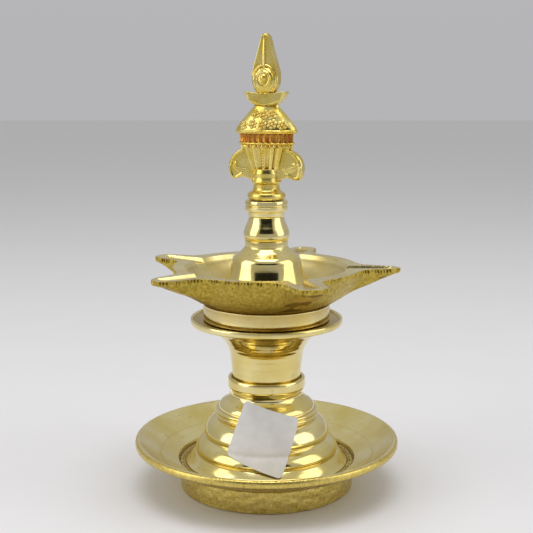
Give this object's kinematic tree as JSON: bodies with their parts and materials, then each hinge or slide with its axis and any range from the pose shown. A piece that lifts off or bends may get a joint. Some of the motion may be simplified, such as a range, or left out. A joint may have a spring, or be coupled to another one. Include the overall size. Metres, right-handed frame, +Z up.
{
  "type": "standing oil lamp",
  "caption": "Small standing brass oil lamp: stepped base with a drip dish, cup stem, beaked wick bowl, bell stem and flame finial, screwed together on threaded studs.",
  "frame": {"origin": "on the lamp's axis, at the bottom face of the foot ring", "axes": "+Z up along the lamp's axis, -Y towards the front, where the paper label is, +X to the front's right"},
  "size_m": [0.1124, 0.1124, 0.19],
  "materials": {
    "polished_brass": "polished, with fine turning lines",
    "satin_brass": "satin cast relief, deeper colour in the recesses",
    "cast_brass": "grainy sand-cast outside, satin turned inside",
    "thread_brass": "machine-cut thread",
    "label_paper": "matte blank paper label"
  },
  "bodies": {
    "base": {"base": "polished_brass", "price_sticker": "label_paper"},
    "lower_stud": {"lower_stud": "thread_brass"},
    "cup_stem": {"cup_stem": "polished_brass"},
    "bowl_stud": {"bowl_stud": "thread_brass"},
    "wick_bowl": {"wick_bowl": "cast_brass"},
    "stem_stud": {"stem_stud": "thread_brass"},
    "upper_stem": {"upper_stem": "polished_brass"},
    "finial_stud": {"finial_stud": "thread_brass"},
    "finial": {"finial": "satin_brass"}
  },
  "joints": [
    {"name": "cup_rise", "type": "slide", "parent": "base", "child": "lower_stud", "axis": [0, 0, 1], "range_m": [0, 0.0098]},
    {"name": "cup_unscrew", "type": "hinge", "parent": "lower_stud", "child": "cup_stem", "pos_m": [0, 0, 0.0455], "axis": [0, 0, 1], "range_deg": [0, 2340]},
    {"name": "bowl_rise", "type": "slide", "parent": "cup_stem", "child": "bowl_stud", "axis": [0, 0, 1], "range_m": [0, 0.0087]},
    {"name": "bowl_unscrew", "type": "hinge", "parent": "bowl_stud", "child": "wick_bowl", "pos_m": [0, 0, 0.0725], "axis": [0, 0, 1], "range_deg": [0, 2070]},
    {"name": "stem_rise", "type": "slide", "parent": "wick_bowl", "child": "stem_stud", "axis": [0, 0, 1], "range_m": [0, 0.006]},
    {"name": "stem_unscrew", "type": "hinge", "parent": "stem_stud", "child": "upper_stem", "pos_m": [0, 0, 0.087], "axis": [0, 0, 1], "range_deg": [0, 1710]},
    {"name": "finial_rise", "type": "slide", "parent": "upper_stem", "child": "finial_stud", "axis": [0, 0, 1], "range_m": [0, 0.0068]},
    {"name": "finial_unscrew", "type": "hinge", "parent": "finial_stud", "child": "finial", "pos_m": [0, 0, 0.1228], "axis": [0, 0, 1], "range_deg": [0, 2430]}
  ],
  "couplings": [
    {"joint": "cup_rise", "follows": "cup_unscrew", "m_per_rad": 0.00023873},
    {"joint": "bowl_rise", "follows": "bowl_unscrew", "m_per_rad": 0.00023873},
    {"joint": "stem_rise", "follows": "stem_unscrew", "m_per_rad": 0.00019894},
    {"joint": "finial_rise", "follows": "finial_unscrew", "m_per_rad": 0.00015915}
  ]
}
